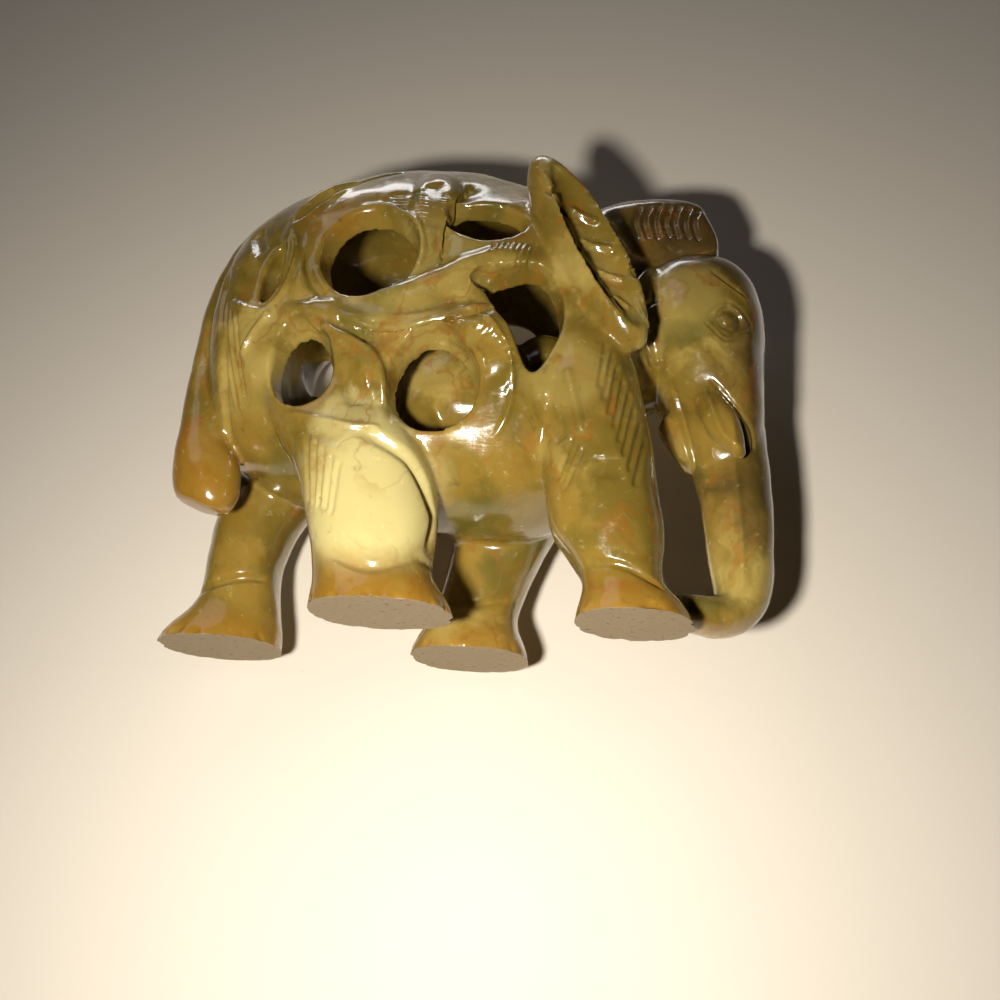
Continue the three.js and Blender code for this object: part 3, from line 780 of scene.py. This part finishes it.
def cut_stroke(points, normals, stroke, line, facing):
    reach = stroke.width * (1.0 if stroke.shape != "step" else 1.6)
    index, distance, nearest = near_line(points, line, reach)
    if not len(index):
        return
    agree = np.einsum("ij,ij->i", normals[index], facing[nearest]) > 0.1
    index, distance, nearest = index[agree], distance[agree], nearest[agree]
    along = nearest / max(1, len(line) - 1)
    taper = np.clip(np.minimum(along, 1 - along) * 6 + 0.15, 0, 1)
    t = distance / reach
    if stroke.shape == "step":
        ahead = np.gradient(line, axis=0)[nearest]
        across = np.cross(facing[nearest], ahead)
        sign = np.sign(np.einsum("ij,ij->i", points[index] - line[nearest], across)) * stroke.side
        amount = np.where(sign > 0, (1 - t) ** 2, 0.0)
    elif stroke.shape == "crest":
        amount = (1 - t) ** 1.3
    elif stroke.shape == "scoop":
        amount = 1 - t**2
    else:
        amount = (1 - t**2) ** 2
    points[index] -= normals[index] * (stroke.depth * amount * taper)[:, None]


def refine_near(piece, lines, reach):
    """Finer faces where the strokes will run."""
    mesh = piece.data
    count = len(mesh.polygons)
    centres = np.empty(count * 3)
    mesh.polygons.foreach_get("center", centres)
    centres = centres.reshape(-1, 3)
    chosen = np.zeros(count, bool)
    for line in lines:
        index, _, _ = near_line(centres, line[::3], reach)
        chosen[index] = True
    mesh.polygons.foreach_set("select", chosen)
    start_clean()
    piece.select_set(True)
    bpy.context.view_layer.objects.active = piece
    bpy.ops.object.mode_set(mode="EDIT")
    bpy.ops.mesh.select_mode(type="FACE")
    bpy.ops.mesh.subdivide(number_cuts=1, smoothness=0)
    bpy.ops.object.mode_set(mode="OBJECT")


def unevenness(points, normals):
    """The slow waves that hand work leaves in the stone."""
    waves = np.array([noise.noise(Vector(p) * 0.19) + 0.5 * noise.noise(Vector(p) * 0.47 + Vector((7, 3, 1)))
                      for p in points])
    chips = np.array([noise.noise(Vector(p) * 1.1 + Vector((4, 9, 2))) for p in points])
    at_the_soles = np.clip(1.3 - points[:, 2], 0, 1) * np.clip(chips - 0.05, 0, 1)
    return points + normals * (waves * 0.16 - at_the_soles * 0.6)[:, None]


def carve(piece):
    tree = BVHTree.FromObject(piece, bpy.context.evaluated_depsgraph_get())
    laid = [(stroke, *lay_line(stroke, tree)) for stroke in carving_strokes()]
    laid = [(stroke, line, facing) for stroke, line, facing in laid if len(line) > 3]
    refine_near(piece, [line for stroke, line, _ in laid if stroke.width <= 0.6], 0.6)
    mesh = piece.data
    points = unevenness(read_points(mesh), read_normals(mesh))
    normals = read_normals(mesh)
    for stroke, line, facing in laid:
        cut_stroke(points, normals, stroke, line, facing)
    write_points(mesh, points)


# --------------------------------------------------------------------------------------------- shaders

class Socket:
    """A shader socket that can be used in sums, so that masks read as they are meant."""

    def __init__(self, graph, socket):
        self.graph = graph
        self.socket = socket

    def _math(self, operation, *values):
        return self.graph.node("ShaderNodeMath", {"operation": operation}, dict(enumerate(values)))

    def __add__(self, other):
        return self._math("ADD", self, other)

    def __sub__(self, other):
        return self._math("SUBTRACT", self, other)

    def __mul__(self, other):
        return self._math("MULTIPLY", self, other)

    def __rsub__(self, other):
        return self._math("SUBTRACT", other, self)

    __radd__ = __add__
    __rmul__ = __mul__

    def smooth(self, low, high):
        """Zero below low, one above high, and smooth between. Low may be the larger, to turn it round."""
        settings = {"interpolation_type": "SMOOTHSTEP"}
        ends = {"Value": self, "From Min": low, "From Max": high}
        return self.graph.node("ShaderNodeMapRange", settings, ends)

    def size(self):
        """The number without its sign."""
        return self._math("ABSOLUTE", self)

    def most(self, other):
        return self._math("MAXIMUM", self, other)


class Graph:
    """The nodes of one material."""

    def __init__(self, name):
        self.material = bpy.data.materials.new(name)
        self.material.use_nodes = True
        self.tree = self.material.node_tree
        self.tree.nodes.clear()

    def node(self, kind, settings=None, inputs=None, output=0):
        made = self.tree.nodes.new(kind)
        for key, value in (settings or {}).items():
            setattr(made, key, value)
        for key, value in (inputs or {}).items():
            if isinstance(value, Socket):
                self.tree.links.new(value.socket, made.inputs[key])
            else:
                made.inputs[key].default_value = value
        return Socket(self, made.outputs[output]) if len(made.outputs) else made

    def blend(self, share, first, second, how="MIX"):
        """Colour mixed from first to second."""
        settings = {"data_type": "RGBA", "blend_type": how, "clamp_factor": True}
        return self.node("ShaderNodeMix", settings, {0: share, 6: first, 7: second}, output=2)

    def noise(self, at, scale, detail=3.0, roughness=0.55, distortion=0.0, output=0):
        values = {"Vector": at, "Scale": scale, "Detail": detail, "Roughness": roughness, "Distortion": distortion}
        return self.node("ShaderNodeTexNoise", {}, values, output)

    def shift(self, vector, amount):
        return self.node("ShaderNodeVectorMath", {"operation": "ADD"}, {0: vector, 1: amount})


def soapstone(stone):
    """Polished soapstone: olive and amber, clouded with cream, veined in rust, matt and pitted on the soles."""
    g = Graph("soapstone")
    place = g.node("ShaderNodeTexCoord", output=3)
    mm = g.node("ShaderNodeVectorMath", {"operation": "SCALE"}, {0: place, "Scale": 1000.0})
    x, y, z = (g.node("ShaderNodeSeparateXYZ", {}, {0: mm}, output=k) for k in range(3))
    drift = g.noise(mm, 0.11, 4.0, 0.6, output=1)
    warped = g.node("ShaderNodeVectorMath", {"operation": "MULTIPLY_ADD"}, {0: drift, 1: (9, 9, 9), 2: mm})
    clouds = g.noise(warped, 0.13, 5.0, 0.6, 0.4)
    fine = g.noise(mm, 0.9, 6.0, 0.65)
    broad = g.noise(g.shift(mm, (31, 7, 12)), 0.07, 3.0, 0.5)

    def patch(cx, cy, cz, reach, soft=0.7):
        """One where the stone is within reach of a place, with a wandering edge."""
        centre = (cx + SHIFT_X, cy, cz)
        gap = g.node("ShaderNodeVectorMath", {"operation": "DISTANCE"}, {0: mm, 1: centre}, output=1)
        return (gap + (clouds - 0.5) * 9.0).smooth(reach * (1 + soft / 2), reach * (1 - soft / 2))

    colour = g.blend(clouds.smooth(0.38, 0.62), stone.olive, stone.ochre)
    colour = g.blend(broad.smooth(0.48, 0.62) * clouds.smooth(0.40, 0.66), colour, stone.straw)
    greens = g.noise(g.shift(warped, (5, 40, 9)), 0.10, 3.0, 0.5)
    colour = g.blend(greens.smooth(0.54, 0.66) * 0.7, colour, stone.green)
    brown = patch(19, 0, 39, 9).most(patch(25, 0, 25, 7)).most(patch(25, -2, 13, 5) * 0.7)
    colour = g.blend(brown * 0.9, colour, stone.brown)
    pale = patch(17, -8, 30, 3.4).most(patch(-4.5, -12, 31, 4.5))
    pale = pale.most(patch(-6, -12, 24, 3)).most(patch(8, -11, 20, 3))
    colour = g.blend(pale * 0.55, colour, stone.straw)
    cream = patch(-7, -10, 9, 6.0).most(patch(-10, -11, 15, 2.5) * 0.6)
    colour = g.blend(cream * 0.85, colour, stone.cream)
    feet = (z + (clouds - 0.5) * 9.0).smooth(4.0, 0.5)
    amber = feet.most(patch(-25, -3, 12, 5)).most(patch(-13, -11, 35, 2.4) * 0.8)
    colour = g.blend(amber * 0.75, colour, stone.amber)
    vein_noise = g.noise(warped, 0.15, 2.0, 0.5, 0.6)
    vein = (vein_noise - 0.5).size().smooth(0.030, 0.0)
    colour = g.blend(vein * broad.smooth(0.38, 0.56) * 0.5, colour, stone.rust)
    colour = g.blend(fine.smooth(0.58, 0.75) * 0.22, colour, stone.cream)
    colour = g.blend(fine.smooth(0.42, 0.25) * 0.40, colour, stone.brown)
    sole = z.smooth(0.08, 0.02)
    pits = g.noise(mm, 1.6, 3.0, 0.6)
    colour = g.blend(sole * 0.9, colour, stone.sole)
    colour = g.blend(sole * pits.smooth(0.60, 0.68) * 0.7, colour, stone.brown)

    drawn_out = {"Vector": mm, "Rotation": (0.3, 0.5, 0.8), "Scale": (1, 9, 1)}
    scratches = g.noise(g.node("ShaderNodeMapping", {}, drawn_out), 1.3, 2.0, 0.6)
    height = fine * 0.35 + scratches * 0.2 + pits * sole * 1.2
    bump = g.node("ShaderNodeBump", {}, {"Strength": 0.35, "Distance": 0.00012, "Height": height})
    rough = 0.16 + fine.smooth(0.45, 0.7) * 0.12 + sole * 0.5
    shader = g.node("ShaderNodeBsdfPrincipled", {}, {
        "Base Color": colour, "Roughness": rough, "Normal": bump, "Coat Weight": 0.5 * (1 - sole),
        "Coat Roughness": 0.08, "IOR": 1.54,
        "Subsurface Weight": 0.12, "Subsurface Radius": (1.0, 0.8, 0.35), "Subsurface Scale": 0.002,
    })
    g.node("ShaderNodeOutputMaterial", {}, {"Surface": shader})
    return g.material


def one_sided(name, colour):
    """A plain pale finish that is only there from its front, so that a surface never hides the carving."""
    g = Graph(name)
    matt = g.node("ShaderNodeBsdfPrincipled", {}, {"Base Color": colour, "Roughness": 0.9})
    clear = g.node("ShaderNodeBsdfTransparent")
    behind = g.node("ShaderNodeNewGeometry", output=6)
    either = g.node("ShaderNodeMixShader", {}, {0: behind, 1: matt, 2: clear})
    g.node("ShaderNodeOutputMaterial", {}, {"Surface": either})
    return g.material


# ------------------------------------------------------------------------------------------- settings

def colour_setting(name, description, default):
    return bpy.props.FloatVectorProperty(
        name=name, description=description, subtype="COLOR", size=4, min=0, max=1, default=(*default, 1))


class StoneSettings(bpy.types.PropertyGroup):
    """Grain of the surface, and the stone's colours."""

    grain: bpy.props.FloatProperty(
        name="Grain", description="Size of the faces that the surface is worked in, in mm", default=0.26, min=0.15)
    faces: bpy.props.IntProperty(
        name="Triangles", description="Most triangles that the finished carving may have", default=196000)
    olive: colour_setting("Olive", "Most of the stone", (0.145, 0.100, 0.016))
    ochre: colour_setting("Ochre", "Warmer clouds", (0.235, 0.150, 0.026))
    straw: colour_setting("Straw", "Pale yellow clouds", (0.36, 0.27, 0.075))
    green: colour_setting("Green", "Dark green pockets", (0.085, 0.078, 0.014))
    cream: colour_setting("Cream", "The palest patch, on the thigh", (0.58, 0.50, 0.22))
    amber: colour_setting("Amber", "Feet and tail tuft", (0.26, 0.130, 0.015))
    brown: colour_setting("Brown", "Crown, forehead and trunk", (0.062, 0.035, 0.013))
    rust: colour_setting("Rust", "Veins", (0.24, 0.085, 0.010))
    sole: colour_setting("Sole", "Unpolished stone under the feet", (0.25, 0.19, 0.115))


class StudioSettings(bpy.types.PropertyGroup):
    """The pale sheet, the lights and the camera."""

    pale: colour_setting("Pale", "The sheet that the carving lies against and stands on", (0.62, 0.57, 0.51))
    azimuth: bpy.props.FloatProperty(
        name="Azimuth", description="How far the camera stands round towards the head", subtype="ANGLE",
        default=math.radians(7))
    elevation: bpy.props.FloatProperty(
        name="Elevation", description="How far the camera stands above the level of the carving", subtype="ANGLE",
        default=math.radians(-22.4))
    roll: bpy.props.FloatProperty(
        name="Roll", description="How far the carving leans clockwise in the view", subtype="ANGLE",
        default=math.radians(4.6))
    distance: bpy.props.FloatProperty(
        name="Distance", description="From the camera to the point it is aimed at", subtype="DISTANCE", unit="LENGTH",
        default=0.106)
    lens: bpy.props.FloatProperty(name="Lens", description="Focal length in mm", default=42.857)
    aim_height: bpy.props.FloatProperty(
        name="Aim height", description="Height of the point aimed at", subtype="DISTANCE", unit="LENGTH",
        default=0.01297)
    aim_forward: bpy.props.FloatProperty(
        name="Aim forward", description="How far towards the head the point aimed at lies", subtype="DISTANCE",
        unit="LENGTH", default=(2.0 + SHIFT_X) * MM)
    key_power: bpy.props.FloatProperty(name="Key light", description="Power in watts", default=0.107)
    fill_power: bpy.props.FloatProperty(name="Fill light", description="Power in watts", default=0.16)
    rear_power: bpy.props.FloatProperty(
        name="Rear and top light", description="Power in watts of each lamp behind and above", default=1.2)


# ------------------------------------------------------------------------------------------- operators

def bring_to_size(piece):
    """From the bench, one unit to the millimetre, to its place in the frame in metres."""
    piece.scale = (MM, MM, MM)
    piece.location = (SHIFT_X * MM, 0, 0)
    start_clean()
    piece.select_set(True)
    bpy.context.view_layer.objects.active = piece
    bpy.ops.object.transform_apply(location=True, rotation=True, scale=True)


def cut_flat_soles(piece):
    start_clean()
    piece.select_set(True)
    bpy.context.view_layer.objects.active = piece
    bpy.ops.object.mode_set(mode="EDIT")
    bpy.ops.mesh.select_all(action="SELECT")
    bpy.ops.mesh.bisect(plane_co=(0, 0, 0), plane_no=(0, 0, 1), use_fill=True, clear_inner=True)
    bpy.ops.mesh.select_all(action="SELECT")
    bpy.ops.mesh.quads_convert_to_tris(quad_method="BEAUTY", ngon_method="BEAUTY")
    bpy.ops.object.mode_set(mode="OBJECT")


class SOAPSTONE_OT_elephant(bpy.types.Operator):
    """Rough out the elephant with the calf inside it, work its surface and carve it"""

    bl_idname = "soapstone.elephant"
    bl_label = "Carve the elephant"

    def execute(self, context):
        stone = context.scene.soapstone_stone
        piece = rough_out()
        grain = stone.grain * 1
        finish_with(piece, "REMESH", mode="VOXEL", voxel_size=grain, adaptivity=0.0)
        finish_with(piece, "SMOOTH", factor=0.5, iterations=4)
        carve(piece)
        cut_flat_soles(piece)
        count = sum(len(face.vertices) - 2 for face in piece.data.polygons)
        if count > stone.faces:
            finish_with(piece, "DECIMATE", ratio=stone.faces / count)
        bring_to_size(piece)
        bpy.ops.object.shade_smooth_by_angle(angle=math.radians(55))
        piece.name = "carved_elephant"
        piece.data.materials.clear()
        piece.data.materials.append(soapstone(stone))
        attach(piece, "root")
        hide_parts("elephant")
        return {"FINISHED"}


def aim(thing, target):
    thing.rotation_euler = (Vector(target) - thing.location).to_track_quat("-Z", "Y").to_euler()


def add_sheet(name, location, rotation, size, finish):
    start_clean()
    bpy.ops.mesh.primitive_plane_add(size=size, location=location, rotation=rotation)
    bpy.ops.object.transform_apply(location=True, rotation=True, scale=True)
    sheet = bpy.context.object
    sheet.name = name
    sheet.data.materials.append(finish)
    sheet.visible_shadow = False
    return sheet


def add_lamp(name, location, target, power, size, colour=(1, 1, 1)):
    start_clean()
    bpy.ops.object.light_add(type="AREA", location=location)
    lamp = bpy.context.object
    lamp.name = name
    lamp.data.shape = "DISK"
    lamp.data.size = size
    lamp.data.energy = power
    lamp.data.color = colour
    aim(lamp, target)
    return lamp


class SOAPSTONE_OT_studio(bpy.types.Operator):
    """Set up the pale sheets, the lights and the camera round the carving"""

    bl_idname = "soapstone.studio"
    bl_label = "Set up the studio"

    def execute(self, context):
        studio = context.scene.soapstone_studio
        finish = one_sided("pale_sheet", studio.pale)
        side_on = math.radians(90)
        add_sheet("sheet_behind", (0, HIGH.y + 0.0004, 0), (side_on, 0, 0), 1.2, finish)
        floor = add_sheet("sheet_under", (0, 0, 0), (0, 0, 0), 1.2, finish)
        floor.visible_glossy = False
        floor.visible_diffuse = False

        target = Vector((studio.aim_forward, 0, studio.aim_height))
        turn, rise = studio.azimuth, studio.elevation
        back = Vector((math.sin(turn) * math.cos(rise), -math.cos(turn) * math.cos(rise), math.sin(rise)))
        bpy.ops.object.camera_add(location=target + back * studio.distance)
        camera = bpy.context.object
        camera.name = "camera"
        view = back.to_track_quat("Z", "Y") @ Quaternion((0, 0, 1), studio.roll)
        camera.rotation_euler = view.to_euler()
        camera.data.lens = studio.lens
        camera.data.clip_start = 0.001
        camera.data.dof.use_dof = False
        context.scene.camera = camera

        right = view @ Vector((1, 0, 0))
        up = view @ Vector((0, 1, 0))
        place = camera.location
        beside = place - right * 0.022 - up * 0.007
        lamp = add_lamp("key", beside, target - up * 0.035, studio.key_power, 0.010, (1.0, 0.94, 0.82))
        lamp.data.spread = math.radians(120)
        add_lamp("fill", (-0.25, -0.3, 0.35), target, studio.fill_power, 0.3, (0.92, 0.90, 1.0))
        add_lamp("rear_fill", (0.15, 0.35, 0.3), target, studio.rear_power, 0.3)
        add_lamp("top_fill", (-0.1, 0.08, 0.45), target, studio.rear_power, 0.3)

        world = bpy.data.worlds.new("pale_room")
        world.use_nodes = True
        world.node_tree.nodes["Background"].inputs["Color"].default_value = (0.72, 0.69, 0.66, 1)
        world.node_tree.nodes["Background"].inputs["Strength"].default_value = 0.7
        world.cycles_visibility.diffuse = False
        world.cycles_visibility.glossy = False
        context.scene.world = world
        context.scene.view_settings.view_transform = "Standard"
        return {"FINISHED"}


class SOAPSTONE_PT_panel(bpy.types.Panel):
    """Lists the steps of the carving and its studio"""

    bl_idname = "SOAPSTONE_PT_panel"
    bl_label = "Soapstone elephant"
    bl_space_type = "VIEW_3D"
    bl_region_type = "UI"
    bl_category = "Soapstone"

    def draw(self, context):
        steps = {"soapstone_stone": SOAPSTONE_OT_elephant, "soapstone_studio": SOAPSTONE_OT_studio}
        for settings, operator in steps.items():
            box = self.layout.box()
            group = getattr(context.scene, settings)
            for key in group.__annotations__:
                box.prop(group, key)
            box.operator(operator.bl_idname)


CLASSES = (StoneSettings, StudioSettings, SOAPSTONE_OT_elephant, SOAPSTONE_OT_studio, SOAPSTONE_PT_panel)


def register():
    for cls in CLASSES:
        bpy.utils.register_class(cls)
    bpy.types.Scene.soapstone_stone = bpy.props.PointerProperty(type=StoneSettings)
    bpy.types.Scene.soapstone_studio = bpy.props.PointerProperty(type=StudioSettings)


def unregister():
    del bpy.types.Scene.soapstone_studio
    del bpy.types.Scene.soapstone_stone
    for cls in reversed(CLASSES):
        bpy.utils.unregister_class(cls)


def main():
    register()
    bpy.ops.soapstone.elephant()
    bpy.ops.soapstone.studio()


if __name__ == "__main__":
    main()
